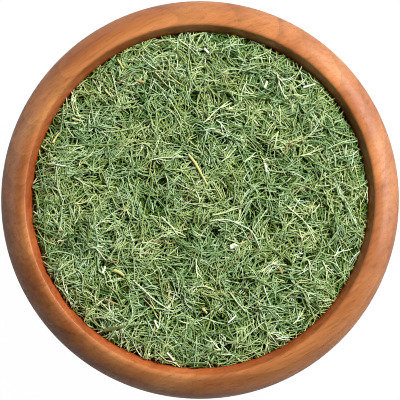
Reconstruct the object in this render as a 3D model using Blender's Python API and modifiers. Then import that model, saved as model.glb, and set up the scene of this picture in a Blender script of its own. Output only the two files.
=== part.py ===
"""A small turned wooden bowl, filled almost to its rim with dried dill leaf.

Units are metres, +Z up, and the origin is at the middle of the foot's underside.
Pieces: the bowl, the settled mass of dill, the stalk chips and the longer leaf
threads that lie on top of it. Everything stands on the bowl; nothing moves.
"""

import math

import bpy

MM = 0.001

# ---------------------------------------------------------------- dimensions
RIM_RADIUS = 60.0 * MM            # widest point of the bowl, just under the rim
RIM_TOP = 45.0 * MM               # height of the crown of the rim
RIM_WIDEST_Z = 38.0 * MM          # height of the widest point
CROWN_RADIUS = 53.6 * MM          # where the rim is highest
FOOT_RADIUS = 33.6 * MM
FOOT_HEIGHT = 3.2 * MM
FOOT_CHAMFER = 0.8 * MM
BELLY_SPAN = math.radians(72.0)   # the outer wall is an arc through this angle, from the widest point down
LATHE_STEPS = 64

# the inside of the bowl, from the crown of the rim down to the floor: radius, height
INNER_WALL = [
    (53.60, 45.00), (52.65, 44.62), (51.90, 43.60), (51.35, 42.20), (50.80, 40.40),
    (50.35, 38.20), (49.50, 33.00), (47.90, 27.50), (44.80, 20.50), (39.30, 14.60),
    (31.50, 10.80), (22.00, 9.20), (11.00, 8.70), (0.00, 8.60),
]

TOUCHING_GAP = 0.3 * MM           # between two pieces that rest on each other
FILL_EDGE_Z = 38.0 * MM           # where the dill meets the wall
FILL_CROWN = 0.7 * MM             # how much higher the heap is in the middle
FILL_WAVES = [                    # gentle unevenness: height, waves per metre in x and y, phase
    (0.22 * MM, 110.0, 65.0, 0.4),
    (0.16 * MM, -85.0, 150.0, 1.9),
    (0.10 * MM, 190.0, -120.0, 4.1),
]
FILL_STEPS = 48
FILL_TOP_RINGS = 9

# stalk chips that lie on the heap: name -> (thickness, colour, points in x and y), in mm
WHITE = (0.86, 0.85, 0.76)
STRAW = (0.72, 0.60, 0.26)
TAN = (0.55, 0.36, 0.16)
OLIVE = (0.24, 0.27, 0.09)
STEM_PIECES = {
    "stem_piece_01": (0.75, STRAW, [(-3.5, 13.8), (-1.3, 10.9), (0.5, 7.6), (2.2, 4.6)]),
    "stem_piece_02": (1.50, WHITE, [(9.1, -14.2), (10.9, -13.4)]),
    "stem_piece_03": (0.50, STRAW, [(12.0, -13.2), (14.0, -12.3)]),
    "stem_piece_04": (0.70, WHITE, [(19.5, 11.0), (20.0, 8.3)]),
    "stem_piece_05": (0.70, WHITE, [(19.4, 33.7), (20.2, 35.7)]),
    "stem_piece_06": (0.55, WHITE, [(31.0, 33.8), (34.6, 34.9)]),
    "stem_piece_07": (0.75, WHITE, [(1.4, 45.4), (2.6, 44.1)]),
    "stem_piece_08": (0.60, STRAW, [(-24.8, 42.4), (-23.1, 39.5)]),
    "stem_piece_09": (0.60, STRAW, [(-28.5, 33.1), (-26.6, 31.0)]),
    "stem_piece_10": (0.65, STRAW, [(-38.5, 24.6), (-36.0, 23.8)]),
    "stem_piece_11": (0.60, TAN, [(-19.2, 36.0), (-16.8, 35.3)]),
    "stem_piece_12": (0.65, STRAW, [(-44.2, 17.2), (-43.0, 19.2), (-42.1, 20.3)]),
    "stem_piece_13": (0.65, WHITE, [(-29.3, -22.0), (-28.4, -20.0)]),
    "stem_piece_14": (0.90, STRAW, [(-25.8, -20.9), (-24.2, -21.7), (-22.7, -22.8)]),
    "stem_piece_15": (0.50, TAN, [(-28.7, -29.6), (-26.6, -30.5), (-24.6, -31.3)]),
    "stem_piece_16": (1.00, OLIVE, [(-28.9, -39.2), (-26.0, -38.6), (-22.9, -38.0)]),
    "stem_piece_17": (0.65, WHITE, [(-13.6, -36.2), (-12.6, -38.5)]),
    "stem_piece_18": (0.90, STRAW, [(0.8, -32.5), (2.0, -33.9)]),
    "stem_piece_19": (0.50, WHITE, [(8.4, -36.8), (10.8, -34.7)]),
    "stem_piece_20": (0.80, TAN, [(24.0, -20.4), (24.6, -22.0)]),
    "stem_piece_21": (0.60, WHITE, [(-9.9, -45.8), (-7.8, -48.2)]),
    "stem_piece_22": (0.80, TAN, [(14.6, -11.4), (15.6, -10.2)]),
}

# longer leaf threads that lie on the heap: name -> (thickness, points in x and y), in mm
LEAF = (0.20, 0.33, 0.10)
LEAF_SPRIGS = {
    "leaf_sprig_01": (0.45, [(2.8, -6.3), (7.6, -5.8), (13.3, -8.1), (16.0, -9.9), (18.4, -15.3)]),
    "leaf_sprig_02": (0.45, [(26.2, -1.8), (32.0, -7.3), (34.8, -12.6)]),
    "leaf_sprig_03": (0.45, [(44.3, -2.4), (46.4, -6.2), (47.4, -9.2)]),
    "leaf_sprig_04": (0.45, [(36.9, -18.3), (37.9, -21.0), (38.8, -23.6)]),
    "leaf_sprig_05": (0.45, [(9.0, -28.0), (11.5, -31.0), (13.6, -33.7)]),
    "leaf_sprig_06": (0.45, [(-14.4, 12.1), (-9.0, 12.9), (-4.9, 12.8)]),
    "leaf_sprig_07": (0.40, [(-6.3, 48.2), (-3.0, 45.6), (-0.3, 43.0)]),
    "leaf_sprig_08": (0.45, [(1.0, 23.2), (5.0, 26.8), (8.5, 29.8)]),
    "leaf_sprig_09": (0.45, [(6.5, 11.4), (8.8, 13.4), (10.8, 15.3)]),
    "leaf_sprig_10": (0.45, [(23.1, 37.5), (24.2, 34.0), (25.6, 30.4)]),
    "leaf_sprig_11": (0.45, [(40.4, 23.2), (42.9, 24.3)]),
    "leaf_sprig_12": (0.45, [(30.2, 13.3), (33.6, 14.2), (36.8, 15.7)]),
    "leaf_sprig_13": (0.50, [(-11.6, -4.9), (-9.0, -7.6), (-6.6, -10.4)]),
    "leaf_sprig_14": (0.45, [(-14.3, -11.7), (-16.0, -13.4), (-18.0, -15.3)]),
    "leaf_sprig_15": (0.45, [(-20.1, -24.1), (-14.0, -29.6), (-8.2, -33.7)]),
    "leaf_sprig_16": (0.45, [(-1.3, -17.7), (-1.0, -20.8), (-0.7, -23.8)]),
    "leaf_sprig_17": (0.45, [(18.4, -21.5), (21.0, -19.6), (23.4, -18.3)]),
    "leaf_sprig_18": (0.45, [(28.0, -37.2), (29.6, -35.6), (30.8, -34.0)]),
    "leaf_sprig_19": (0.45, [(0.1, -35.2), (4.0, -36.4), (7.6, -37.3)]),
    "leaf_sprig_20": (0.45, [(40.3, -16.8), (43.4, -14.7)]),
    "leaf_sprig_21": (0.50, [(3.7, -4.6), (8.0, -3.5), (13.0, -2.1)]),
    "leaf_sprig_22": (0.45, [(-37.7, 7.0), (-35.6, 5.4), (-33.7, 3.9)]),
    "leaf_sprig_23": (0.45, [(23.4, 20.6), (22.9, 18.3), (22.2, 16.0)]),
    "leaf_sprig_24": (0.50, [(13.4, 11.4), (15.4, 13.2), (16.8, 14.2)]),
    "leaf_sprig_25": (0.45, [(-30.9, -14.8), (-29.5, -16.5), (-28.2, -18.1)]),
    "leaf_sprig_26": (0.45, [(22.9, -41.6), (24.9, -41.4), (26.7, -41.3)]),
}


# ---------------------------------------------------------------- start clean
for old in list(bpy.data.objects):
    bpy.data.objects.remove(old, do_unlink=True)

bowl_of_dill = bpy.data.collections.new("bowl_of_dill")
bpy.context.scene.collection.children.link(bowl_of_dill)


# ---------------------------------------------------------------- helpers
def material(name, colour, roughness, metallic=0.0):
    mat = bpy.data.materials.new(name)
    mat.use_nodes = True
    shader = mat.node_tree.nodes["Principled BSDF"]
    shader.inputs["Base Color"].default_value = (*colour, 1.0)
    shader.inputs["Roughness"].default_value = roughness
    shader.inputs["Metallic"].default_value = metallic
    mat.diffuse_color = (*colour, 1.0)
    return mat


def smooth_through(points, per_span):
    """Points on a smooth (Catmull-Rom) line through the given ones."""
    out = []
    for i in range(len(points) - 1):
        p0 = points[max(i - 1, 0)]
        p1, p2 = points[i], points[i + 1]
        p3 = points[min(i + 2, len(points) - 1)]
        for k in range(per_span):
            t = k / per_span
            out.append(tuple(
                0.5 * (2 * b + (c - a) * t + (2 * a - 5 * b + 4 * c - d) * t * t
                       + (3 * b - a - 3 * c + d) * t ** 3)
                for a, b, c, d in zip(p0, p1, p2, p3)))
    out.append(points[-1])
    return out


def wall_radius(z):
    """Radius of the bowl's inside at height z, from the turned profile."""
    line = [(r * MM, h * MM) for r, h in INNER_WALL]
    for (r1, z1), (r2, z2) in zip(line, line[1:]):
        if z2 <= z <= z1:
            return r2 + (r1 - r2) * (z - z2) / (z1 - z2)
    return line[0][0]


def heap_height(x, y):
    """Height of the dill's surface at x, y."""
    edge = wall_radius(FILL_EDGE_Z)
    rr = min((x * x + y * y) / (edge * edge), 1.0)
    z = FILL_EDGE_Z + FILL_CROWN * (1.0 - rr)
    fade = 1.0 - rr ** 4
    for height, kx, ky, phase in FILL_WAVES:
        z += fade * height * math.sin(kx * x + ky * y + phase)
    return z


def turned(name, profile, steps, mat):
    """A solid of revolution: the profile runs from the axis, over the top and down the outer side."""
    mesh = bpy.data.meshes.new(name)
    mesh.from_pydata([(r, 0.0, z) for r, z in profile],
                     [(i, i + 1) for i in range(len(profile) - 1)], [])
    obj = bpy.data.objects.new(name, mesh)
    bowl_of_dill.objects.link(obj)
    screw = obj.modifiers.new("turning", "SCREW")
    screw.axis = "Z"
    screw.angle = math.tau
    screw.steps = steps
    screw.render_steps = steps
    screw.use_merge_vertices = True
    screw.merge_threshold = 0.00001
    screw.use_smooth_shade = True
    obj.data.materials.append(mat)
    return obj


def as_mesh(obj):
    """Replace an object by its evaluated mesh, so that its points can be moved."""
    depsgraph = bpy.context.evaluated_depsgraph_get()
    depsgraph.update()
    mesh = bpy.data.meshes.new_from_object(obj.evaluated_get(depsgraph))
    mesh.name = obj.name
    name, mats = obj.name, list(obj.data.materials)
    bpy.data.objects.remove(obj, do_unlink=True)
    done = bpy.data.objects.new(name, mesh)
    bowl_of_dill.objects.link(done)
    if not mesh.materials:
        for mat in mats:
            mesh.materials.append(mat)
    for poly in mesh.polygons:
        poly.use_smooth = True
    return done


def strand(name, thickness, plan, mat):
    """A thin piece lying on the heap: a tube through the points, resting a gap above the surface."""
    radius = 0.5 * thickness * MM
    flat = [(x * MM, y * MM) for x, y in plan]
    if len(flat) > 2:
        flat = smooth_through(flat, 3)
    curve = bpy.data.curves.new(name, "CURVE")
    curve.dimensions = "3D"
    curve.bevel_depth = radius
    curve.bevel_resolution = 2
    curve.use_fill_caps = True
    line = curve.splines.new("POLY")
    line.points.add(len(flat) - 1)
    lift = TOUCHING_GAP + 0.1 * MM + radius
    for point, (x, y) in zip(line.points, flat):
        point.co = (x, y, heap_height(x, y) + lift, 1.0)
    obj = bpy.data.objects.new(name, curve)
    bowl_of_dill.objects.link(obj)
    curve.materials.append(mat)
    return obj


# ---------------------------------------------------------------- the bowl
def bowl_profile():
    inner = smooth_through([(r * MM, z * MM) for r, z in reversed(INNER_WALL)], 2)
    # the rim: a quarter ellipse from the crown out to the widest point
    rim_width = RIM_RADIUS - CROWN_RADIUS
    rim_drop = RIM_TOP - RIM_WIDEST_Z
    rim = []
    for k in range(1, 7):
        t = 0.5 * math.pi * k / 6
        rim.append((CROWN_RADIUS + rim_width * math.sin(t), RIM_WIDEST_Z + rim_drop * math.cos(t)))
    # the belly: an arc from the widest point to the top of the foot
    foot_top = FOOT_RADIUS + 0.4 * MM
    across = (RIM_RADIUS - foot_top) / (1.0 - math.cos(BELLY_SPAN))
    down = (RIM_WIDEST_Z - FOOT_HEIGHT) / math.sin(BELLY_SPAN)
    belly = []
    for k in range(1, 11):
        u = BELLY_SPAN * k / 10
        belly.append((RIM_RADIUS - across * (1.0 - math.cos(u)), RIM_WIDEST_Z - down * math.sin(u)))
    foot = [
        (FOOT_RADIUS, FOOT_HEIGHT - 0.5 * MM),
        (FOOT_RADIUS, FOOT_CHAMFER),
        (FOOT_RADIUS - FOOT_CHAMFER, 0.0),
        (0.0, 0.0),
    ]
    return inner + rim + belly + foot


wood = material("lacquered_wood", (0.48, 0.22, 0.09), 0.35)
bowl = turned("bowl", bowl_profile(), LATHE_STEPS, wood)


# ---------------------------------------------------------------- the dill
def fill_profile():
    """Underside against the bowl, drawn from the axis over the top and down the outer side."""
    edge = wall_radius(FILL_EDGE_Z) - TOUCHING_GAP
    top = [(edge * k / FILL_TOP_RINGS, FILL_EDGE_Z) for k in range(FILL_TOP_RINGS)]
    wall = [(edge, FILL_EDGE_Z)]
    inner = [(r * MM, z * MM) for r, z in INNER_WALL]
    for i in range(1, len(inner) - 1):
        r, z = inner[i]
        if z > FILL_EDGE_Z - 1.0 * MM:
            continue
        # step inwards from the wall, along its normal, by the gap
        dr = inner[i + 1][0] - inner[i - 1][0]
        dz = inner[i + 1][1] - inner[i - 1][1]
        length = math.hypot(dr, dz)
        step = TOUCHING_GAP + 0.15 * MM
        wall.append((r + step * dz / length, z - step * dr / length))
    floor = (0.0, inner[-1][1] + TOUCHING_GAP + 0.15 * MM)
    return top + wall + [floor]


herb = material("dried_dill", (0.14, 0.22, 0.07), 0.85)
fill = as_mesh(turned("dill_fill", fill_profile(), FILL_STEPS, herb))
for vertex in fill.data.vertices:
    if vertex.co.z > FILL_EDGE_Z - 0.01 * MM:
        if math.hypot(vertex.co.x, vertex.co.y) < wall_radius(FILL_EDGE_Z) - TOUCHING_GAP - 0.1 * MM:
            vertex.co.z = heap_height(vertex.co.x, vertex.co.y)


# ---------------------------------------------------------------- pieces on top
stalk_materials = {}
for name, (thickness, colour, plan) in STEM_PIECES.items():
    if colour not in stalk_materials:
        stalk_materials[colour] = material("stalk_%d" % len(stalk_materials), colour, 0.6)
    strand(name, thickness, plan, stalk_materials[colour])

leaf = material("leaf_thread", LEAF, 0.7)
for name, (thickness, plan) in LEAF_SPRIGS.items():
    strand(name, thickness, plan, leaf)
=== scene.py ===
"""Looks of the turned wooden bowl of dried dill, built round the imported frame."""
import math

import bmesh
import bpy
import numpy as np
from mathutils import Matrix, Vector


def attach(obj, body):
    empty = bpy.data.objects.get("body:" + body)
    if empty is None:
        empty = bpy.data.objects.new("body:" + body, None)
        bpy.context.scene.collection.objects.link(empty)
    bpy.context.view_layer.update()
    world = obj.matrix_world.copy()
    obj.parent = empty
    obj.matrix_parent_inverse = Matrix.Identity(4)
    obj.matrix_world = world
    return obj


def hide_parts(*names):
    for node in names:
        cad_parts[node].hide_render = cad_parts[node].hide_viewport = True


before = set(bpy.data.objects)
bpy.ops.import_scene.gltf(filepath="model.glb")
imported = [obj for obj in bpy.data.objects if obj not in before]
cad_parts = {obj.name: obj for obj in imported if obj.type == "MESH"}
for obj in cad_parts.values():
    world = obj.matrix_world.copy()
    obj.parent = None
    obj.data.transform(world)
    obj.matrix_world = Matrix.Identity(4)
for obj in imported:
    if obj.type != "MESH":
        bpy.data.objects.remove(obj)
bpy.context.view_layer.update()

MM = 0.001
SEED = 20117
rng = np.random.default_rng(SEED)

scene = bpy.context.scene
scene.view_settings.view_transform = "Standard"
scene.view_settings.look = "None"
scene.cycles.filter_width = 1.0
scene.cycles.denoising_prefilter = "NONE"

looks = bpy.data.collections.new("bowl_of_dill_looks")
scene.collection.children.link(looks)


def srgb(r, g, b):
    """An 0..255 colour as the linear values that a shader socket takes."""
    out = []
    for c in (r, g, b):
        c /= 255.0
        out.append(c / 12.92 if c <= 0.04045 else ((c + 0.055) / 1.055) ** 2.4)
    return (*out, 1.0)


# --------------------------------------------------------------------------
# camera: straight above, long lens, the bowl's widest ring just inside the frame
# --------------------------------------------------------------------------
cam_data = bpy.data.cameras.new("camera")
cam_data.lens = 300.0
cam_data.sensor_width = 36.0
cam = bpy.data.objects.new("camera", cam_data)
looks.objects.link(cam)
scene.camera = cam
HALF_WIDTH = 60.0 * MM * 200.0 / 199.0
distance = HALF_WIDTH / (cam_data.sensor_width / 2.0 / cam_data.lens)
cam.location = (0.0, 0.0, 38.5 * MM + distance)
cam.rotation_euler = (0.0, 0.0, 0.0)
cam_data.clip_start = 0.01
cam_data.clip_end = 20.0

# --------------------------------------------------------------------------
# node helpers
# --------------------------------------------------------------------------


def new_material(name):
    mat = bpy.data.materials.new(name)
    mat.use_nodes = True
    nt = mat.node_tree
    shader = nt.nodes["Principled BSDF"]
    return mat, nt, shader


def add(nt, kind, **values):
    node = nt.nodes.new(kind)
    for key, value in values.items():
        if key in node.inputs:
            node.inputs[key].default_value = value
        else:
            setattr(node, key, value)
    return node


def ramp(nt, factor, stops, interpolation="LINEAR"):
    node = nt.nodes.new("ShaderNodeValToRGB")
    node.color_ramp.interpolation = interpolation
    els = node.color_ramp.elements
    while len(els) > 1:
        els.remove(els[-1])
    els[0].position, els[0].color = stops[0]
    for pos, col in stops[1:]:
        el = els.new(pos)
        el.color = col
    nt.links.new(factor, node.inputs["Fac"])
    return node.outputs["Color"]


def grey(v):
    return (v, v, v, 1.0)


def mix(nt, a, b, factor, blend="MIX"):
    node = nt.nodes.new("ShaderNodeMix")
    node.data_type = "RGBA"
    node.blend_type = blend
    node.clamp_result = False
    fac, ca, cb = node.inputs[0], node.inputs[6], node.inputs[7]
    for socket, value in ((fac, factor), (ca, a), (cb, b)):
        if isinstance(value, bpy.types.NodeSocket):
            nt.links.new(value, socket)
        else:
            socket.default_value = value
    return node.outputs[2]


def maths(nt, op, a, b=None, clamp=False):
    node = nt.nodes.new("ShaderNodeMath")
    node.operation = op
    node.use_clamp = clamp
    for socket, value in zip(node.inputs, (a, b)):
        if value is None:
            continue
        if isinstance(value, bpy.types.NodeSocket):
            nt.links.new(value, socket)
        else:
            socket.default_value = value
    return node.outputs[0]


def mapped(nt, vector, scale, rotation=(0, 0, 0), location=(0, 0, 0)):
    node = nt.nodes.new("ShaderNodeMapping")
    node.vector_type = "POINT"
    node.inputs["Scale"].default_value = scale
    node.inputs["Rotation"].default_value = rotation
    node.inputs["Location"].default_value = location
    nt.links.new(vector, node.inputs["Vector"])
    return node.outputs["Vector"]


def noise(nt, vector, scale=1.0, detail=2.0, roughness=0.5, distortion=0.0):
    node = nt.nodes.new("ShaderNodeTexNoise")
    node.inputs["Scale"].default_value = scale
    node.inputs["Detail"].default_value = detail
    node.inputs["Roughness"].default_value = roughness
    node.inputs["Distortion"].default_value = distortion
    nt.links.new(vector, node.inputs["Vector"])
    return node.outputs["Fac"]


# --------------------------------------------------------------------------
# the bowl's profile, the same turned shape as the CAD's, sampled finely
# --------------------------------------------------------------------------
INNER_WALL = [
    (53.14, 45.00), (52.84, 44.95), (52.56, 44.80), (52.32, 44.52), (52.12, 44.10), (51.72, 43.20),
    (51.25, 42.15), (50.85, 41.20), (50.50, 40.00), (50.25, 38.20), (49.45, 33.00), (47.90, 27.50),
    (44.80, 20.50), (39.30, 14.60),
    (31.50, 10.80), (22.00, 9.20), (11.00, 8.70), (0.00, 8.60),
]


def smooth_through(points, per_span):
    pts = np.array(points, float)
    out = []
    for i in range(len(pts) - 1):
        p0, p1, p2, p3 = pts[max(i - 1, 0)], pts[i], pts[i + 1], pts[min(i + 2, len(pts) - 1)]
        for k in range(per_span):
            t = k / per_span
            out.append(0.5 * (2 * p1 + (p2 - p0) * t + (2 * p0 - 5 * p1 + 4 * p2 - p3) * t * t
                              + (3 * p1 - p0 - 3 * p2 + p3) * t ** 3))
    out.append(pts[-1])
    return np.array(out)


INNER_FINE = smooth_through(INNER_WALL, 8)
# the rim's back, from the crown out to the widest ring
RIM_BACK = [
    (53.14, 45.00), (53.60, 44.945), (54.05, 44.79), (54.96, 44.30), (55.86, 43.65), (56.77, 42.88),
    (57.67, 41.96), (58.58, 40.88), (59.18, 40.05), (59.62, 39.28), (59.90, 38.60), (60.00, 38.00),
]


def wall_radius_mm(z):
    """Inside radius of the bowl at height z, both in mm."""
    return float(np.interp(z, INNER_FINE[::-1, 1], INNER_FINE[::-1, 0]))


def lathe(name, profile, steps, v_map):
    """A turned solid. profile: (radius, height) in metres from the axis over the top and back to the axis."""
    profile = np.array(profile)
    n = len(profile)
    verts, faces = [], []
    ring_start = []
    for r, z in profile:
        ring_start.append(len(verts))
        if r < 1e-7:
            verts.append((0.0, 0.0, z))
        else:
            for k in range(steps):
                a = math.tau * k / steps
                verts.append((r * math.cos(a), r * math.sin(a), z))
    uvs = []
    for i in range(n - 1):
        a0, b0 = ring_start[i], ring_start[i + 1]
        ra, rb = profile[i][0] < 1e-7, profile[i + 1][0] < 1e-7
        for k in range(steps):
            k2 = (k + 1) % steps
            u0, u1 = k / steps, (k + 1) / steps
            va, vb = v_map[i], v_map[i + 1]
            if ra and rb:
                continue
            if ra:
                faces.append((a0, b0 + k, b0 + k2))
                uvs.append(((0.5 * (u0 + u1), va), (u0, vb), (u1, vb)))
            elif rb:
                faces.append((a0 + k2, a0 + k, b0))
                uvs.append(((u1, va), (u0, va), (0.5 * (u0 + u1), vb)))
            else:
                faces.append((a0 + k, b0 + k, b0 + k2, a0 + k2))
                uvs.append(((u0, va), (u0, vb), (u1, vb), (u1, va)))
    mesh = bpy.data.meshes.new(name)
    mesh.from_pydata(verts, [], faces)
    layer = mesh.uv_layers.new(name="OFBake")
    flat = [c for face in uvs for uv in face for c in uv]
    layer.data.foreach_set("uv", flat)
    mesh.shade_smooth()
    mesh.validate()
    mesh.update()
    obj = bpy.data.objects.new(name, mesh)
    looks.objects.link(obj)
    return obj


def bowl_profile_fine():
    inner = smooth_through(INNER_WALL[::-1], 8)
    rim = [tuple(p) for p in smooth_through(RIM_BACK, 5)[1:]]
    span = math.radians(72.0)
    across = (60.0 - 34.0) / (1.0 - math.cos(span))
    down = (38.0 - 3.2) / math.sin(span)
    belly = []
    for k in range(1, 41):
        u = span * k / 40
        belly.append((60.0 - across * (1.0 - math.cos(u)), 38.0 - down * math.sin(u)))
    foot = [(33.85, 3.02), (33.72, 2.80), (33.62, 2.50), (33.60, 2.00), (33.60, 1.30),
            (33.58, 0.95), (33.50, 0.62), (33.34, 0.34), (33.10, 0.12), (32.80, 0.02), (32.55, 0.0),
            (31.8, 0.0), (24.0, 0.0), (16.0, 0.0), (8.0, 0.0), (0.0, 0.0)]
    return np.array([*map(tuple, inner), *rim, *belly, *foot]) * MM


profile = bowl_profile_fine()
steps_len = np.hypot(*np.diff(profile, axis=0).T)
along = np.concatenate([[0], np.cumsum(steps_len)])
# the hidden inside under the herb takes a small share of the map's height
hidden = along[np.argmax(profile[:, 1] > 36.0 * MM)]
v_map = np.where(along < hidden, 0.08 * along / hidden,
                 0.08 + 0.92 * (along - hidden) / (along[-1] - hidden))
bowl = lathe("bowl_wood", profile, 288, v_map)

GRAIN = math.radians(30.0)


def wood_material():
    mat, nt, shader = new_material("lacquered_side_grain_wood")
    coord = nt.nodes.new("ShaderNodeTexCoord").outputs["Object"]
    # x runs along the grain
    turned_grain = mapped(nt, coord, (1, 1, 1), rotation=(math.radians(2.5), math.radians(-3.0), -GRAIN))
    # slow wander of the fibres
    wander = noise(nt, mapped(nt, turned_grain, (9, 34, 34)), 1.0, 2.0, 0.5)
    wander_vec = nt.nodes.new("ShaderNodeCombineXYZ")
    nt.links.new(maths(nt, "MULTIPLY", maths(nt, "SUBTRACT", wander, 0.5), 0.010), wander_vec.inputs["Y"])
    nt.links.new(maths(nt, "MULTIPLY", maths(nt, "SUBTRACT", wander, 0.5), 0.007), wander_vec.inputs["Z"])
    vec = nt.nodes.new("ShaderNodeVectorMath")
    vec.operation = "ADD"
    nt.links.new(turned_grain, vec.inputs[0])
    nt.links.new(wander_vec.outputs[0], vec.inputs[1])
    fibre_space = vec.outputs[0]
    # growth rings about an axis along the grain, well below and beside the bowl
    wave = nt.nodes.new("ShaderNodeTexWave")
    wave.wave_type = "RINGS"
    wave.rings_direction = "X"
    wave.wave_profile = "SAW"
    wave.inputs["Scale"].default_value = 62.0
    wave.inputs["Distortion"].default_value = 1.6
    wave.inputs["Detail"].default_value = 2.0
    wave.inputs["Detail Scale"].default_value = 0.35
    wave.inputs["Detail Roughness"].default_value = 0.55
    nt.links.new(mapped(nt, fibre_space, (0.25, 1, 1), location=(0, 0.047, 0.083)), wave.inputs["Vector"])
    rings = wave.outputs["Fac"]
    broad = noise(nt, mapped(nt, fibre_space, (14, 95, 95)), 1.0, 3.0, 0.55)
    streak = noise(nt, mapped(nt, fibre_space, (75, 900, 900)), 1.0, 4.0, 0.62)
    pore = noise(nt, mapped(nt, fibre_space, (260, 3600, 3600)), 1.0, 2.0, 0.5)

    base = ramp(nt, broad, [
        (0.20, srgb(150, 85, 43)), (0.42, srgb(174, 104, 55)),
        (0.58, srgb(190, 121, 68)), (0.80, srgb(206, 140, 86))])
    ring_tone = ramp(nt, rings, [(0.0, grey(1.04)), (0.55, grey(0.99)), (0.86, grey(0.84)), (1.0, grey(0.80))])
    col = mix(nt, base, ring_tone, 0.75, "MULTIPLY")
    streak_tone = ramp(nt, streak, [(0.28, (0.60, 0.54, 0.48, 1)), (0.45, (0.92, 0.91, 0.90, 1)),
                                    (0.60, grey(1.04)), (0.80, (1.20, 1.18, 1.14, 1))])
    col = mix(nt, col, streak_tone, 0.85, "MULTIPLY")
    pore_tone = ramp(nt, pore, [(0.30, (0.42, 0.34, 0.27, 1)), (0.40, grey(1.0))])
    col = mix(nt, col, pore_tone, 0.55, "MULTIPLY")
    # painted shade: the inside wall between the herb and the lip is darkened in its colour, standing in for the shade
    # of the groove there
    radius = nt.nodes.new("ShaderNodeVectorMath")
    radius.operation = "LENGTH"
    nt.links.new(mapped(nt, coord, (1, 1, 0)), radius.inputs[0])
    painted_wall_shade = ramp(nt, maths(nt, "MULTIPLY", radius.outputs["Value"], 10.0), [
        (0.510, (1.0, 0.58, 0.50, 1)), (0.521, (1.0, 0.78, 0.72, 1)), (0.530, grey(1.0))])
    col = mix(nt, col, painted_wall_shade, 1.0, "MULTIPLY")
    nt.links.new(col, shader.inputs["Base Color"])
    rough = ramp(nt, streak, [(0.3, grey(0.46)), (0.7, grey(0.36))])
    nt.links.new(rough, shader.inputs["Roughness"])
    shader.inputs["Specular IOR Level"].default_value = 0.5
    shader.inputs["Coat Weight"].default_value = 0.35
    shader.inputs["Coat Roughness"].default_value = 0.30
    bump = nt.nodes.new("ShaderNodeBump")
    bump.inputs["Strength"].default_value = 0.22
    bump.inputs["Distance"].default_value = 0.00012
    height = maths(nt, "ADD", maths(nt, "MULTIPLY", streak, 0.7), maths(nt, "MULTIPLY", pore, 0.3))
    nt.links.new(height, bump.inputs["Height"])
    nt.links.new(bump.outputs["Normal"], shader.inputs["Normal"])
    return mat


bowl.data.materials.append(wood_material())
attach(bowl, "root")
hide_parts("bowl")

# --------------------------------------------------------------------------
# the dill: a settled bed coloured near black as painted shade deep in the heap, then thousands of separate threads
# dropped on it
# --------------------------------------------------------------------------
BED_Z = 39.9          # mm, where the loose threads start
GRID = 0.2            # mm, pitch of the height map that the threads are dropped on
HALF = 52.0
N_GRID = int(2 * HALF / GRID)


def bed_height(x, y):
    """Gentle lumps of the settled herb, in mm, for arrays of x and y in mm."""
    r2 = (x * x + y * y) / 50.3 ** 2
    z = BED_Z + 0.7 * (1 - r2)
    z = z + 0.28 * np.sin(0.110 * x + 0.065 * y + 0.4) + 0.20 * np.sin(-0.085 * x + 0.150 * y + 1.9)
    z = z + 0.16 * np.sin(0.31 * x - 0.22 * y + 4.1) + 0.13 * np.sin(0.27 * x + 0.38 * y + 0.7)
    z = z + 0.10 * np.sin(0.62 * x - 0.51 * y + 2.2)
    return z


axis = (np.arange(N_GRID) + 0.5) * GRID - HALF
gx, gy = np.meshgrid(axis, axis)
heights = bed_height(gx, gy)


def bed_object():
    """The closed mass under the loose threads: the bowl's inside, up to the lumpy bed."""
    edge = wall_radius_mm(BED_Z) - 0.3
    rings = 44
    pts = [(edge * k / rings, BED_Z) for k in range(rings)] + [(edge, BED_Z)]
    lower = [(r, z) for r, z in INNER_FINE if z < BED_Z - 0.8]
    for i, (r, z) in enumerate(lower[:-1]):
        r2, z2 = lower[i + 1]
        length = math.hypot(r2 - r, z2 - z)
        dr, dz = (z2 - z) / length * 0.45, -(r2 - r) / length * 0.45
        if r + dr > 0.2:
            pts.append((r + dr, z + dz))
    pts.append((0.0, lower[-1][1] + 0.45))
    n = len(pts)
    obj = lathe("dill_bed", np.array(pts) * MM, 160, np.linspace(0, 1, n))
    co = np.empty(len(obj.data.vertices) * 3)
    obj.data.vertices.foreach_get("co", co)
    co = co.reshape(-1, 3)
    x, y, z = co.T / MM
    top = z > BED_Z - 0.05
    rr = np.hypot(x, y)
    lump = bed_height(x, y) + 0.25 * np.sin(3.1 * x + 1.3 * y) * np.sin(2.3 * y - 1.1 * x)
    fade = np.clip((edge - rr) / 1.5, 0, 1)
    z = np.where(top, BED_Z + (lump - BED_Z) * fade, z)
    co[:, 2] = z * MM
    obj.data.vertices.foreach_set("co", co.ravel())
    obj.data.update()
    return obj


def bed_material():
    mat, nt, shader = new_material("packed_dill_painted_shade")
    coord = nt.nodes.new("ShaderNodeTexCoord").outputs["Object"]
    a = noise(nt, mapped(nt, coord, (900, 900, 900)), 1.0, 4.0, 0.6)
    b = noise(nt, mapped(nt, coord, (90, 90, 90)), 1.0, 2.0, 0.5)
    # painted shade: the bed's near-black greens stand in for the shade deep between the threads
    col = ramp(nt, a, [(0.30, srgb(14, 22, 10)), (0.50, srgb(30, 46, 20)), (0.68, srgb(54, 76, 32))])
    tone = ramp(nt, b, [(0.35, grey(0.8)), (0.65, grey(1.15))])
    nt.links.new(mix(nt, col, tone, 1.0, "MULTIPLY"), shader.inputs["Base Color"])
    shader.inputs["Roughness"].default_value = 0.9
    shader.inputs["Specular IOR Level"].default_value = 0.2
    bump = nt.nodes.new("ShaderNodeBump")
    bump.inputs["Strength"].default_value = 0.6
    bump.inputs["Distance"].default_value = 0.0003
    nt.links.new(a, bump.inputs["Height"])
    nt.links.new(bump.outputs["Normal"], shader.inputs["Normal"])
    return mat


bed = bed_object()
bed.data.materials.append(bed_material())
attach(bed, "root")
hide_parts("dill_fill")

SAMPLES = 18
SLOPES = np.linspace(-0.40, 0.40, 17)


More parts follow.
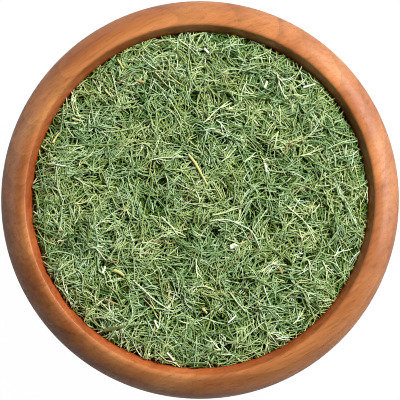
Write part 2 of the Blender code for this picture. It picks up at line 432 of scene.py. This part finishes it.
def thread_plan(x, y, heading, length, turn, wiggle, phase):
    """A curved line in plan, SAMPLES points, mm."""
    s = np.linspace(-0.5, 0.5, SAMPLES)
    head = heading + turn * s + wiggle * np.sin(math.tau * s + phase)
    step = length / (SAMPLES - 1)
    px = np.concatenate([[0], np.cumsum(np.cos(head[:-1]) * step)])
    py = np.concatenate([[0], np.cumsum(np.sin(head[:-1]) * step)])
    mid = SAMPLES // 2
    return px - px[mid] + x, py - py[mid] + y


def keep_inside(px, py, limit):
    for _ in range(3):
        r = np.hypot(px, py)
        k = int(r.argmax())
        over = r[k] - limit
        if over <= 0:
            break
        px = px - px[k] / r[k] * over
        py = py - py[k] / r[k] * over
    return px, py


def cells(px, py):
    ix = np.clip(((px + HALF) / GRID).astype(int), 0, N_GRID - 1)
    iy = np.clip(((py + HALF) / GRID).astype(int), 0, N_GRID - 1)
    return iy, ix


def drop(px, py, width, thick, flex, press, start=None, lift=0.0):
    """Rest a thread on the heap as it stands. Returns the height of its underside, mm."""
    tx, ty = np.gradient(px), np.gradient(py)
    norm = np.hypot(tx, ty) + 1e-9
    nx, ny = -ty / norm, tx / norm
    off = 0.3 * width
    c0 = cells(px, py)
    c1 = cells(px + nx * off, py + ny * off)
    c2 = cells(px - nx * off, py - ny * off)
    h = np.maximum(np.maximum(heights[c0], heights[c1]), heights[c2])
    s = np.linspace(-1, 1, len(px))
    length = float(norm.sum())
    run = 0.5 * length
    need = h[None, :] - SLOPES[:, None] * run * s[None, :]
    a = need.max(1)
    best = int(a.argmin())
    line = a[best] + SLOPES[best] * run * s
    gap = line - h
    kernel = np.ones(5) / 5
    sag = np.convolve(np.pad(gap, 2, mode="edge"), kernel, mode="valid")
    z = line - flex * sag - press
    if lift:
        z = z + lift * (0.5 + 0.5 * s) ** 1.5
    if start is not None:
        w = np.clip(np.linspace(0, length, len(px)) / 1.3, 0, 1)
        z = (1 - w) * start + w * z
    top = z + thick
    for c in (c0, c1, c2):
        np.maximum.at(heights, c, top)
    return z


threads = []   # px, py, z, width0, width1, thick, tone, twist


def add_thread(px, py, width0, width1, thick, tone, flex=0.42, press=0.07, start=None, lift=0.0):
    px, py = keep_inside(px, py, 50.45 + 0.30 * depth_share - 0.5 * width0)
    z = drop(px, py, width0, thick, flex, press, start, lift)
    threads.append((px, py, z, width0, width1, thick, tone, rng.uniform(-1.2, 1.2)))
    return px, py, z


def macro_tone(x, y):
    """Patches of the heap that are a little paler or darker."""
    return (0.045 * math.sin(0.13 * x + 0.21 * y + 1.0) + 0.04 * math.sin(0.29 * x - 0.17 * y + 2.6)
            + 0.03 * math.sin(-0.41 * x + 0.37 * y + 0.3))


def place_tone(level, warm):
    """The palette place of a brightness level, 0 dark to 1 pale, in the cool or the warm greens."""
    level = min(max(level, 0.02), 0.99)
    return 0.462 + 0.426 * level if warm else 0.002 + 0.434 * level


def pick_tone(x, y, family, warm):
    level = rng.normal(0.65, 0.19) * 0.8 + family * 0.2 + 0.4 * macro_tone(x, y)
    # painted shade: threads low in the heap are darkened to stand in for the shade between the threads
    if depth_share < PAINTED_SHADE_SHARE:
        level = level * (0.25 + 0.50 * depth_share / PAINTED_SHADE_SHARE)
    chance = rng.random()
    if chance < 0.016:
        return rng.uniform(0.912, 0.955)
    if chance < 0.019:
        return rng.uniform(0.965, 0.995)
    return place_tone(level, warm)


PAINTED_SHADE_SHARE = 0.58     # painted shade: the threads dropped first, low in the heap, get darker tones that stand in for the shade deep in the pile
depth_share = 0.0


def scatter(area_cover):
    """Drop cut sprigs and single threads until they cover the heap area_cover times over."""
    global depth_share
    covered, goal = 0.0, area_cover * math.pi * 50.0 ** 2
    while covered < goal:
        depth_share = covered / goal
        r = 50.2 * math.sqrt(rng.random())
        a = rng.random() * math.tau
        cx, cy = r * math.cos(a), r * math.sin(a)
        family = rng.normal(0.65, 0.14)
        warm = rng.random() < 0.5 + 0.35 * math.sin(0.16 * cx + 0.9) * math.cos(0.19 * cy - 0.4)
        heading = rng.random() * math.tau
        kind = rng.random()
        if kind < 0.42:          # a forked piece: a midrib with side threads
            length = float(np.clip(rng.lognormal(math.log(6.4), 0.32), 3.5, 13.0))
            w = rng.uniform(0.34, 0.47)
            turn = rng.normal(0, 0.65)
            px, py = thread_plan(cx, cy, heading, length, turn, rng.normal(0, 0.10), rng.random() * 6.28)
            tone = pick_tone(cx, cy, family, warm)
            px, py, z = add_thread(px, py, w, w * 0.55, w * 0.72, tone)
            covered += length * w * 0.85
            for _ in range(rng.integers(1, 5)):
                j = int(rng.integers(2, SAMPLES - 4))
                here = math.atan2(py[j + 1] - py[j], px[j + 1] - px[j])
                side = 1 if rng.random() < 0.5 else -1
                fork = here + side * rng.uniform(0.35, 0.80)
                sub = float(np.clip(rng.lognormal(math.log(3.8), 0.30), 2.0, 7.0))
                ws = w * rng.uniform(0.68, 0.92)
                s = np.linspace(0, 1, SAMPLES)
                head = fork - side * rng.uniform(0.0, 0.5) * s
                step = sub / (SAMPLES - 1)
                bx = px[j] + np.concatenate([[0], np.cumsum(np.cos(head[:-1]) * step)])
                by = py[j] + np.concatenate([[0], np.cumsum(np.sin(head[:-1]) * step)])
                if np.hypot(bx, by).max() > 50.45 + 0.30 * depth_share - 0.5 * ws:
                    continue
                lo, hi = (0.002, 0.438) if tone < 0.45 else (0.462, 0.888) if tone < 0.9 else (0.91, 0.995)
                add_thread(bx, by, ws, ws * 0.5, ws * 0.72, min(max(tone + rng.normal(0, 0.03), lo), hi),
                           start=z[j])
                covered += sub * ws * 0.85
        elif kind < 0.72:        # a few threads that lie roughly side by side
            count = int(rng.integers(2, 6))
            for i in range(count):
                length = float(np.clip(rng.lognormal(math.log(4.8), 0.38), 2.2, 11.0))
                w = rng.uniform(0.29, 0.43)
                ox, oy = rng.normal(0, 1.1), rng.normal(0, 1.1)
                px, py = thread_plan(cx + ox, cy + oy, heading + rng.normal(0, 0.22), length,
                                     rng.normal(0, 0.70), rng.normal(0, 0.14), rng.random() * 6.28)
                add_thread(px, py, w, w * rng.uniform(0.45, 0.8), w * 0.72, pick_tone(cx, cy, family, warm))
                covered += length * w * 0.85
        else:                    # a single thread
            length = float(np.clip(rng.lognormal(math.log(4.6), 0.45), 1.8, 14.0))
            w = rng.uniform(0.28, 0.46)
            px, py = thread_plan(cx, cy, heading, length, rng.normal(0, 0.85), rng.normal(0, 0.18),
                                 rng.random() * 6.28)
            lift = rng.uniform(0.3, 1.2) if rng.random() < 0.05 else 0.0
            add_thread(px, py, w, w * rng.uniform(0.4, 0.8), w * 0.72, pick_tone(cx, cy, family, warm), lift=lift)
            covered += length * w * 0.85


scatter(3.3)


def build_threads(name, items, rings=8, sides=6):
    """One mesh of many tapered threads, each a closed tube with pointed ends."""
    n = len(items)
    t_old = np.linspace(0, 1, SAMPLES)
    t_new = np.linspace(0, 1, rings)
    px = np.array([np.interp(t_new, t_old, it[0]) for it in items])
    py = np.array([np.interp(t_new, t_old, it[1]) for it in items])
    pz = np.array([np.interp(t_new, t_old, it[2]) for it in items])
    w0 = np.array([it[3] for it in items])[:, None]
    w1 = np.array([it[4] for it in items])[:, None]
    th = np.array([it[5] for it in items])[:, None]
    tone = np.array([it[6] for it in items])
    twist = np.array([it[7] for it in items])[:, None]
    pz = pz + 0.5 * th
    centre = np.stack([px, py, pz], -1)
    tangent = np.gradient(centre, axis=1)
    tangent /= np.linalg.norm(tangent, axis=-1, keepdims=True) + 1e-9
    up = np.array([0.0, 0.0, 1.0])
    side = np.cross(tangent, up)
    side /= np.linalg.norm(side, axis=-1, keepdims=True) + 1e-9
    normal = np.cross(side, tangent)
    width = w0 + (w1 - w0) * t_new[None, :]
    shape = np.ones(rings)
    shape[0], shape[-1] = 0.62, 0.50
    a = width * 0.5 * shape
    b = th * 0.5 * (width / w0) * shape
    tw = twist * (t_new[None, :] - 0.5)
    ang = math.tau * (np.arange(sides) + 0.5) / sides
    ca, sa = np.cos(ang), np.sin(ang)
    # local ellipse, twisted
    ex = a[..., None] * ca
    ey = b[..., None] * sa
    ct, st = np.cos(tw)[..., None], np.sin(tw)[..., None]
    lx = ex * ct - ey * st
    ly = ex * st + ey * ct
    ring = centre[:, :, None, :] + side[:, :, None, :] * lx[..., None] + normal[:, :, None, :] * ly[..., None]
    tip0 = centre[:, 0] - tangent[:, 0] * (0.55 * w0)
    tip1 = centre[:, -1] + tangent[:, -1] * (0.9 * w1)
    per = rings * sides + 2
    verts = np.concatenate([ring.reshape(n, -1, 3), tip0[:, None], tip1[:, None]], 1).reshape(-1, 3) * MM
    # quads, then the two end fans
    quads = []
    for i in range(rings - 1):
        for k in range(sides):
            k2 = (k + 1) % sides
            quads.append((i * sides + k, i * sides + k2, (i + 1) * sides + k2, (i + 1) * sides + k))
    tris = []
    for k in range(sides):
        k2 = (k + 1) % sides
        tris.append((rings * sides, k2, k))
        tris.append((rings * sides + 1, (rings - 1) * sides + k, (rings - 1) * sides + k2))
    quads, tris = np.array(quads), np.array(tris)
    base = (np.arange(n) * per)[:, None, None]
    q_all = (quads[None] + base).reshape(n, -1)
    t_all = (tris[None] + base).reshape(n, -1)
    loops = np.concatenate([q_all, t_all], 1).ravel()
    sizes = np.tile(np.concatenate([np.full(len(quads), 4), np.full(len(tris), 3)]), n)
    starts = np.concatenate([[0], np.cumsum(sizes)[:-1]])
    mesh = bpy.data.meshes.new(name)
    mesh.vertices.add(len(verts))
    mesh.vertices.foreach_set("co", verts.ravel())
    mesh.loops.add(len(loops))
    mesh.loops.foreach_set("vertex_index", loops.astype(np.int32))
    mesh.polygons.add(len(sizes))
    mesh.polygons.foreach_set("loop_start", starts.astype(np.int32))
    mesh.update(calc_edges=True)
    # the map: u is the thread's tone, with a narrow strip across it; v runs along the thread
    vu = np.concatenate([np.tile(ca * 0.0022, rings), [0.0, 0.0]])
    vv = np.concatenate([np.repeat(0.06 + 0.88 * t_new, sides), [0.03, 0.97]])
    jitter = rng.uniform(-0.02, 0.02, n)
    u = np.clip(tone[:, None] + vu[None, :], 0.001, 0.999)
    v = np.clip(vv[None, :] + jitter[:, None], 0.001, 0.999)
    uv = np.stack([u.ravel(), v.ravel()], -1)
    layer = mesh.uv_layers.new(name="OFBake")
    layer.data.foreach_set("uv", uv[loops].astype(np.float32).ravel())
    mesh.shade_smooth()
    mesh.validate()
    mesh.update()
    obj = bpy.data.objects.new(name, mesh)
    looks.objects.link(obj)
    return obj


def thread_material():
    mat, nt, shader = new_material("dried_dill_thread")
    uv = nt.nodes.new("ShaderNodeUVMap")
    uv.uv_map = "OFBake"
    split = nt.nodes.new("ShaderNodeSeparateXYZ")
    nt.links.new(uv.outputs["UV"], split.inputs[0])
    tone, along_v = split.outputs[0], split.outputs[1]
    col = ramp(nt, tone, [
        # cool greens, dark to pale
        (0.000, srgb(16, 38, 2)), (0.090, srgb(50, 84, 18)), (0.190, srgb(98, 134, 68)),
        (0.300, srgb(150, 182, 128)), (0.380, srgb(192, 218, 172)), (0.440, srgb(224, 240, 210)),
        # warm greens, dark to pale
        (0.460, srgb(24, 40, 1)), (0.550, srgb(70, 94, 18)), (0.650, srgb(126, 150, 74)),
        (0.750, srgb(172, 194, 126)), (0.830, srgb(208, 224, 168)), (0.890, srgb(232, 242, 202)),
        # straw and brown
        (0.910, srgb(224, 220, 162)), (0.945, srgb(204, 192, 124)), (0.970, srgb(176, 150, 104)),
        (1.000, srgb(120, 98, 70))])
    fibre = noise(nt, mapped(nt, uv.outputs["UV"], (420, 9, 1)), 1.0, 3.0, 0.6)
    tone2 = ramp(nt, fibre, [(0.30, (0.72, 0.76, 0.66, 1)), (0.52, grey(1.0)), (0.72, (1.22, 1.16, 1.18, 1))])
    col = mix(nt, col, tone2, 0.9, "MULTIPLY")
    ends = ramp(nt, along_v, [(0.0, (1.10, 1.04, 0.92, 1)), (0.25, grey(1.0)), (0.8, grey(0.98)),
                              (1.0, (1.06, 0.98, 0.80, 1))])
    col = mix(nt, col, ends, 1.0, "MULTIPLY")
    nt.links.new(col, shader.inputs["Base Color"])
    shader.inputs["Roughness"].default_value = 0.38
    shader.inputs["Specular IOR Level"].default_value = 0.6
    return mat


thread_mat = thread_material()
PER_PIECE = 2000
count = len(threads)
pieces = max(1, math.ceil(count / PER_PIECE))
for i in range(pieces):
    part = threads[i * count // pieces:(i + 1) * count // pieces]
    layer_obj = build_threads("dill_layer_%d" % (i + 1), part)
    layer_obj.data.materials.append(thread_mat)
    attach(layer_obj, "root")
print("threads", count, "pieces", pieces, "top mean %.2f max %.2f" % (
    heights[np.hypot(gx, gy) < 49].mean(), heights[np.hypot(gx, gy) < 49].max()))

# --------------------------------------------------------------------------
# the conspicuous stalk chips and the longer threads that lie on top
# --------------------------------------------------------------------------
STEM_PIECES = {
    "stem_piece_01": (0.75, "straw", [(-3.5, 13.8), (-1.3, 10.9), (0.5, 7.6), (2.2, 4.6)]),
    "stem_piece_02": (1.50, "white", [(9.1, -14.2), (10.9, -13.4)]),
    "stem_piece_03": (0.50, "straw", [(12.0, -13.2), (14.0, -12.3)]),
    "stem_piece_04": (0.70, "white", [(19.5, 11.0), (20.0, 8.3)]),
    "stem_piece_05": (0.70, "white", [(19.4, 33.7), (20.2, 35.7)]),
    "stem_piece_06": (0.55, "white", [(31.0, 33.8), (34.6, 34.9)]),
    "stem_piece_07": (0.75, "white", [(1.4, 45.4), (2.6, 44.1)]),
    "stem_piece_08": (0.60, "straw", [(-24.8, 42.4), (-23.1, 39.5)]),
    "stem_piece_09": (0.60, "straw", [(-28.5, 33.1), (-26.6, 31.0)]),
    "stem_piece_10": (0.65, "straw", [(-38.5, 24.6), (-36.0, 23.8)]),
    "stem_piece_11": (0.60, "tan", [(-19.2, 36.0), (-16.8, 35.3)]),
    "stem_piece_12": (0.65, "straw", [(-44.2, 17.2), (-43.0, 19.2), (-42.1, 20.3)]),
    "stem_piece_13": (0.65, "white", [(-29.3, -22.0), (-28.4, -20.0)]),
    "stem_piece_14": (0.90, "straw", [(-25.8, -20.9), (-24.2, -21.7), (-22.7, -22.8)]),
    "stem_piece_15": (0.50, "tan", [(-28.7, -29.6), (-26.6, -30.5), (-24.6, -31.3)]),
    "stem_piece_16": (1.00, "olive", [(-28.9, -39.2), (-26.0, -38.6), (-22.9, -38.0)]),
    "stem_piece_17": (0.65, "white", [(-13.6, -36.2), (-12.6, -38.5)]),
    "stem_piece_18": (0.90, "straw", [(0.8, -32.5), (2.0, -33.9)]),
    "stem_piece_19": (0.50, "white", [(8.4, -36.8), (10.8, -34.7)]),
    "stem_piece_20": (0.80, "tan", [(24.0, -20.4), (24.6, -22.0)]),
    "stem_piece_21": (0.60, "white", [(-9.9, -45.8), (-7.8, -48.2)]),
    "stem_piece_22": (0.80, "tan", [(14.6, -11.4), (15.6, -10.2)]),
}
LEAF_SPRIGS = {
    "leaf_sprig_01": (0.45, [(2.8, -6.3), (7.6, -5.8), (13.3, -8.1), (16.0, -9.9), (18.4, -15.3)]),
    "leaf_sprig_02": (0.45, [(26.2, -1.8), (32.0, -7.3), (34.8, -12.6)]),
    "leaf_sprig_03": (0.45, [(44.3, -2.4), (46.4, -6.2), (47.4, -9.2)]),
    "leaf_sprig_04": (0.45, [(36.9, -18.3), (37.9, -21.0), (38.8, -23.6)]),
    "leaf_sprig_05": (0.45, [(9.0, -28.0), (11.5, -31.0), (13.6, -33.7)]),
    "leaf_sprig_06": (0.45, [(-14.4, 12.1), (-9.0, 12.9), (-4.9, 12.8)]),
    "leaf_sprig_07": (0.40, [(-6.3, 48.2), (-3.0, 45.6), (-0.3, 43.0)]),
    "leaf_sprig_08": (0.45, [(1.0, 23.2), (5.0, 26.8), (8.5, 29.8)]),
    "leaf_sprig_09": (0.45, [(6.5, 11.4), (8.8, 13.4), (10.8, 15.3)]),
    "leaf_sprig_10": (0.45, [(23.1, 37.5), (24.2, 34.0), (25.6, 30.4)]),
    "leaf_sprig_11": (0.45, [(40.4, 23.2), (42.9, 24.3)]),
    "leaf_sprig_12": (0.45, [(30.2, 13.3), (33.6, 14.2), (36.8, 15.7)]),
    "leaf_sprig_13": (0.50, [(-11.6, -4.9), (-9.0, -7.6), (-6.6, -10.4)]),
    "leaf_sprig_14": (0.45, [(-14.3, -11.7), (-16.0, -13.4), (-18.0, -15.3)]),
    "leaf_sprig_15": (0.45, [(-20.1, -24.1), (-14.0, -29.6), (-8.2, -33.7)]),
    "leaf_sprig_16": (0.45, [(-1.3, -17.7), (-1.0, -20.8), (-0.7, -23.8)]),
    "leaf_sprig_17": (0.45, [(18.4, -21.5), (21.0, -19.6), (23.4, -18.3)]),
    "leaf_sprig_18": (0.45, [(28.0, -37.2), (29.6, -35.6), (30.8, -34.0)]),
    "leaf_sprig_19": (0.45, [(0.1, -35.2), (4.0, -36.4), (7.6, -37.3)]),
    "leaf_sprig_20": (0.45, [(40.3, -16.8), (43.4, -14.7)]),
    "leaf_sprig_21": (0.50, [(3.7, -4.6), (8.0, -3.5), (13.0, -2.1)]),
    "leaf_sprig_22": (0.45, [(-37.7, 7.0), (-35.6, 5.4), (-33.7, 3.9)]),
    "leaf_sprig_23": (0.45, [(23.4, 20.6), (22.9, 18.3), (22.2, 16.0)]),
    "leaf_sprig_24": (0.50, [(13.4, 11.4), (15.4, 13.2), (16.8, 14.2)]),
    "leaf_sprig_25": (0.45, [(-30.9, -14.8), (-29.5, -16.5), (-28.2, -18.1)]),
    "leaf_sprig_26": (0.45, [(22.9, -41.6), (24.9, -41.4), (26.7, -41.3)]),
}


def resample(points, n):
    pts = smooth_through(points, 8) if len(points) > 2 else np.array(points, float)
    seg = np.hypot(*np.diff(pts, axis=0).T)
    s = np.concatenate([[0], np.cumsum(seg)])
    t = np.linspace(0, s[-1], n)
    return np.interp(t, s, pts[:, 0]), np.interp(t, s, pts[:, 1]), s[-1]


def build_sprig(name, thickness, plan):
    px, py, length = resample(plan, SAMPLES)
    wig = 0.10 * np.sin(np.linspace(0, math.tau * 1.2, SAMPLES) + rng.random() * 6.28)
    tx, ty = np.gradient(px), np.gradient(py)
    norm = np.hypot(tx, ty)
    px, py = px - ty / norm * wig, py + tx / norm * wig
    tone = place_tone(rng.uniform(0.82, 0.97), rng.random() < 0.5)
    items = []
    z = drop(px, py, thickness, thickness * 0.75, 0.5, 0.05)
    items.append((px, py, z, thickness * 1.1, thickness * 0.7, thickness * 0.75, tone, rng.uniform(-1, 1)))
    for _ in range(int(rng.integers(1, 4))):
        j = int(rng.integers(2, SAMPLES - 3))
        here = math.atan2(py[j + 1] - py[j], px[j + 1] - px[j])
        side = 1 if rng.random() < 0.5 else -1
        head = here + side * rng.uniform(0.35, 0.75) - side * 0.4 * np.linspace(0, 1, SAMPLES)
        sub = rng.uniform(2.0, 4.2)
        step = sub / (SAMPLES - 1)
        bx = px[j] + np.concatenate([[0], np.cumsum(np.cos(head[:-1]) * step)])
        by = py[j] + np.concatenate([[0], np.cumsum(np.sin(head[:-1]) * step)])
        if np.hypot(bx, by).max() > 49.8:
            continue
        w = thickness * rng.uniform(0.7, 0.9)
        zz = drop(bx, by, w, w * 0.72, 0.55, 0.08, start=z[j])
        items.append((bx, by, zz, w, w * 0.5, w * 0.72, tone, 0.3))
    obj = build_threads(name + "_leaf", items, rings=12, sides=8)
    obj.data.materials.append(thread_mat)
    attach(obj, "root")
    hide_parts(name)
    return obj


for name, (thickness, plan) in LEAF_SPRIGS.items():
    build_sprig(name, thickness, plan)


def stalk_mesh(name, plan, thickness, flat=0.75, rings=22, sides=16, taper=0.85, ridges=5, pith=True):
    """A cut piece of stalk: ribbed, slightly bent, with torn or hollow cut ends."""
    px, py, length = resample(plan, SAMPLES)
    z = drop(px, py, thickness, thickness * flat, 0.25, 0.12)
    t_old, t = np.linspace(0, 1, SAMPLES), np.linspace(0, 1, rings)
    px, py, z = np.interp(t, t_old, px), np.interp(t, t_old, py), np.interp(t, t_old, z)
    phase = rng.random() * 6.28
    centre = np.stack([px, py, z + 0.5 * thickness * flat], -1)
    tangent = np.gradient(centre, axis=0)
    tangent /= np.linalg.norm(tangent, axis=-1, keepdims=True)
    side = np.cross(tangent, (0, 0, 1.0))
    side /= np.linalg.norm(side, axis=-1, keepdims=True)
    normal = np.cross(side, tangent)
    verts, uvs_v = [], []
    ang = math.tau * np.arange(sides) / sides
    for i in range(rings):
        w = thickness * 0.5 * (1 + (taper - 1) * t[i]) * (1 + 0.07 * math.sin(9 * t[i] + phase))
        end = min(t[i], 1 - t[i]) * length
        if end < 0.12 * thickness:
            w *= 0.86
        rad = w * (1 + 0.09 * np.cos(ridges * ang + phase + 0.6 * t[i]) + 0.03 * np.sin(3 * ang + 4 * t[i]))
        slant = 0.22 * thickness * np.cos(ang + phase) * ((t[i] < 0.5) * (1 - 2 * t[i]) ** 6 - (t[i] >= 0.5) * (2 * t[i] - 1) ** 6)
        for k in range(sides):
            p = centre[i] + side[i] * rad[k] * math.cos(ang[k]) + normal[i] * rad[k] * flat * math.sin(ang[k])
            verts.append(p + tangent[i] * slant[k])
    faces, uvs = [], []
    for i in range(rings - 1):
        for k in range(sides):
            k2 = (k + 1) % sides
            faces.append((i * sides + k, i * sides + k2, (i + 1) * sides + k2, (i + 1) * sides + k))
            u0, u1 = k / sides, (k + 1) / sides
            v0, v1 = 0.1 + 0.8 * t[i], 0.1 + 0.8 * t[i + 1]
            uvs += [(u0, v0), (u1, v0), (u1, v1), (u0, v1)]
    # each end: a lip ring, then a shallow hollow of soft pith
    for end, row in ((0, 0), (1, rings - 1)):
        out = -1 if end == 0 else 1
        c = np.mean(np.array(verts[row * sides:(row + 1) * sides]), 0)
        prev = [row * sides + k for k in range(sides)]
        for shrink, depth, vv in ((0.74, 0.02, 0.06), (0.45, -0.16 if pith else 0.05, 0.03)):
            ring_now = []
            for k in range(sides):
                p = c + (verts[row * sides + k] - c) * shrink + tangent[row] * out * depth * thickness
                ring_now.append(len(verts))
                verts.append(p)
            for k in range(sides):
                k2 = (k + 1) % sides
                quad = (prev[k2], prev[k], ring_now[k], ring_now[k2]) if end == 0 else (
                    prev[k], prev[k2], ring_now[k2], ring_now[k])
                faces.append(quad)
                u0, u1 = k / sides, (k + 1) / sides
                v_a = vv + 0.03 if end == 0 else 1 - vv - 0.03
                v_b = vv if end == 0 else 1 - vv
                uvs += ([(u1, v_a), (u0, v_a), (u0, v_b), (u1, v_b)] if end == 0 else
                        [(u0, v_a), (u1, v_a), (u1, v_b), (u0, v_b)])
            prev = ring_now
        centre_i = len(verts)
        verts.append(c + tangent[row] * out * (-0.18 if pith else 0.06) * thickness)
        for k in range(sides):
            k2 = (k + 1) % sides
            faces.append((prev[k2], prev[k], centre_i) if end == 0 else (prev[k], prev[k2], centre_i))
            u0, u1 = k / sides, (k + 1) / sides
            v_b, v_c = (0.03, 0.01) if end == 0 else (0.97, 0.99)
            uvs += ([(u1, v_b), (u0, v_b), (0.5 * (u0 + u1), v_c)] if end == 0 else
                    [(u0, v_b), (u1, v_b), (0.5 * (u0 + u1), v_c)])
    mesh = bpy.data.meshes.new(name)
    mesh.from_pydata([tuple(v * MM) for v in verts], [], faces)
    layer = mesh.uv_layers.new(name="OFBake")
    layer.data.foreach_set("uv", [c for uv in uvs for c in uv])
    mesh.shade_smooth()
    mesh.validate()
    mesh.update()
    obj = bpy.data.objects.new(name, mesh)
    looks.objects.link(obj)
    return obj


def stalk_material(name, dark, middle, light, end):
    mat, nt, shader = new_material(name)
    uv = nt.nodes.new("ShaderNodeUVMap")
    uv.uv_map = "OFBake"
    split = nt.nodes.new("ShaderNodeSeparateXYZ")
    nt.links.new(uv.outputs["UV"], split.inputs[0])
    fibre = noise(nt, mapped(nt, uv.outputs["UV"], (22, 3.0, 1)), 1.0, 3.0, 0.6)
    blotch = noise(nt, mapped(nt, uv.outputs["UV"], (2.0, 2.6, 1)), 1.0, 2.0, 0.5)
    col = ramp(nt, fibre, [(0.30, dark), (0.50, middle), (0.68, light)])
    tone = ramp(nt, blotch, [(0.35, (0.82, 0.80, 0.72, 1)), (0.62, (1.08, 1.07, 1.05, 1))])
    col = mix(nt, col, tone, 0.9, "MULTIPLY")
    ends = ramp(nt, split.outputs[1], [(0.0, grey(0.55)), (0.07, grey(0.25)), (0.13, grey(0.0)), (0.80, grey(0.0)),
                                       (0.96, grey(0.7)), (1.0, grey(0.8))])
    col = mix(nt, col, end, ends)
    nt.links.new(col, shader.inputs["Base Color"])
    shader.inputs["Roughness"].default_value = 0.55
    return mat


STALKS = {
    "white": stalk_material("stalk_white", srgb(222, 222, 196), srgb(246, 248, 232), srgb(254, 255, 250),
                            srgb(232, 232, 190)),
    "straw": stalk_material("stalk_straw", srgb(176, 166, 92), srgb(218, 210, 136), srgb(242, 238, 180),
                            srgb(204, 204, 132)),
    "tan": stalk_material("stalk_tan", srgb(140, 110, 62), srgb(186, 156, 100), srgb(222, 200, 144),
                          srgb(206, 194, 122)),
    "olive": stalk_material("stalk_olive", srgb(74, 82, 40), srgb(104, 112, 58), srgb(136, 140, 80),
                            srgb(110, 108, 60)),
}
for name, (thickness, kind, plan) in STEM_PIECES.items():
    flat = 0.42 if kind in ("olive", "tan") else 0.78
    obj = stalk_mesh(name + "_chip", plan, thickness, flat=flat, taper=0.8 if kind != "white" else 0.95,
                     pith=kind in ("white", "straw"))
    obj.data.materials.append(STALKS[kind])
    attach(obj, "root")
    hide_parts(name)

# --------------------------------------------------------------------------
# floor and light
# --------------------------------------------------------------------------
bpy.ops.mesh.primitive_plane_add(size=8.0, location=(0, 0, -0.0002))
floor = bpy.context.object
floor.name = "floor"
for coll in list(floor.users_collection):
    coll.objects.unlink(floor)
looks.objects.link(floor)
fmat, fnt, fshader = new_material("pale_floor")
fshader.inputs["Base Color"].default_value = (0.50, 0.50, 0.50, 1)
fshader.inputs["Roughness"].default_value = 0.9
fshader.inputs["Specular IOR Level"].default_value = 0.1
glow = fnt.nodes.new("ShaderNodeEmission")
glow.inputs["Color"].default_value = (1, 1, 1, 1)
glow.inputs["Strength"].default_value = 1.04
path = fnt.nodes.new("ShaderNodeLightPath")
half = fnt.nodes.new("ShaderNodeMath")
half.operation = "MULTIPLY"
half.inputs[1].default_value = 0.95
fnt.links.new(path.outputs["Is Camera Ray"], half.inputs[0])
blend = fnt.nodes.new("ShaderNodeMixShader")
fnt.links.new(half.outputs[0], blend.inputs["Fac"])
fnt.links.new(fshader.outputs[0], blend.inputs[1])
fnt.links.new(glow.outputs[0], blend.inputs[2])
fnt.links.new(blend.outputs[0], fnt.nodes["Material Output"].inputs["Surface"])
floor.data.materials.append(fmat)

world = bpy.data.worlds.new("studio")
scene.world = world
world.use_nodes = True
wnt = world.node_tree
bg = wnt.nodes["Background"]
bg.inputs["Color"].default_value = (1.0, 1.0, 1.0, 1)
# the room is brighter towards the window side, which is up and to the right in the main view
look_dir = wnt.nodes.new("ShaderNodeTexCoord").outputs["Generated"]
toward = wnt.nodes.new("ShaderNodeVectorMath")
toward.operation = "DOT_PRODUCT"
wnt.links.new(look_dir, toward.inputs[0])
WINDOW_AZ, WINDOW_EL = math.radians(40.0), math.radians(55.0)
toward.inputs[1].default_value = (math.cos(WINDOW_AZ) * math.cos(WINDOW_EL), math.sin(WINDOW_AZ) * math.cos(WINDOW_EL),
                                  math.sin(WINDOW_EL))
bright = maths(wnt, "ADD", maths(wnt, "MULTIPLY", maths(wnt, "POWER", maths(
    wnt, "MAXIMUM", toward.outputs["Value"], 0.0), 2.0), 0.34), 0.05)
wnt.links.new(bright, bg.inputs["Strength"])
bg2 = wnt.nodes.new("ShaderNodeBackground")
bg2.inputs["Color"].default_value = (1, 1, 1, 1)
bg2.inputs["Strength"].default_value = 1.0
wpath = wnt.nodes.new("ShaderNodeLightPath")
wmix = wnt.nodes.new("ShaderNodeMixShader")
wnt.links.new(wpath.outputs["Is Camera Ray"], wmix.inputs["Fac"])
wnt.links.new(bg.outputs[0], wmix.inputs[1])
wnt.links.new(bg2.outputs[0], wmix.inputs[2])
wnt.links.new(wmix.outputs[0], wnt.nodes["World Output"].inputs["Surface"])


def softbox(name, azimuth, elevation, dist, size_x, size_y, radiance, colour=(1, 1, 1)):
    light = bpy.data.lights.new(name, "AREA")
    light.shape = "RECTANGLE"
    light.size, light.size_y = size_x, size_y
    light.energy = radiance * math.pi * size_x * size_y
    light.color = colour
    obj = bpy.data.objects.new(name, light)
    looks.objects.link(obj)
    a, e = math.radians(azimuth), math.radians(elevation)
    spot = Vector((math.cos(a) * math.cos(e), math.sin(a) * math.cos(e), math.sin(e)))
    obj.location = spot * dist + Vector((0, 0, 0.04))
    obj.rotation_mode = "QUATERNION"
    obj.rotation_quaternion = spot.to_track_quat("Z", "Y")
    return obj


key = softbox("key", 45.0, 53.0, 1.0, 0.26, 0.30, 60.0)
key.visible_glossy = False
sheen = softbox("low_side", 20.0, 9.0, 1.1, 1.50, 0.42, 5.0)
sheen.visible_diffuse = False
rim_fill = softbox("left_edge", 168.0, 6.0, 1.1, 0.90, 0.24, 1.6)
rim_fill.visible_diffuse = False
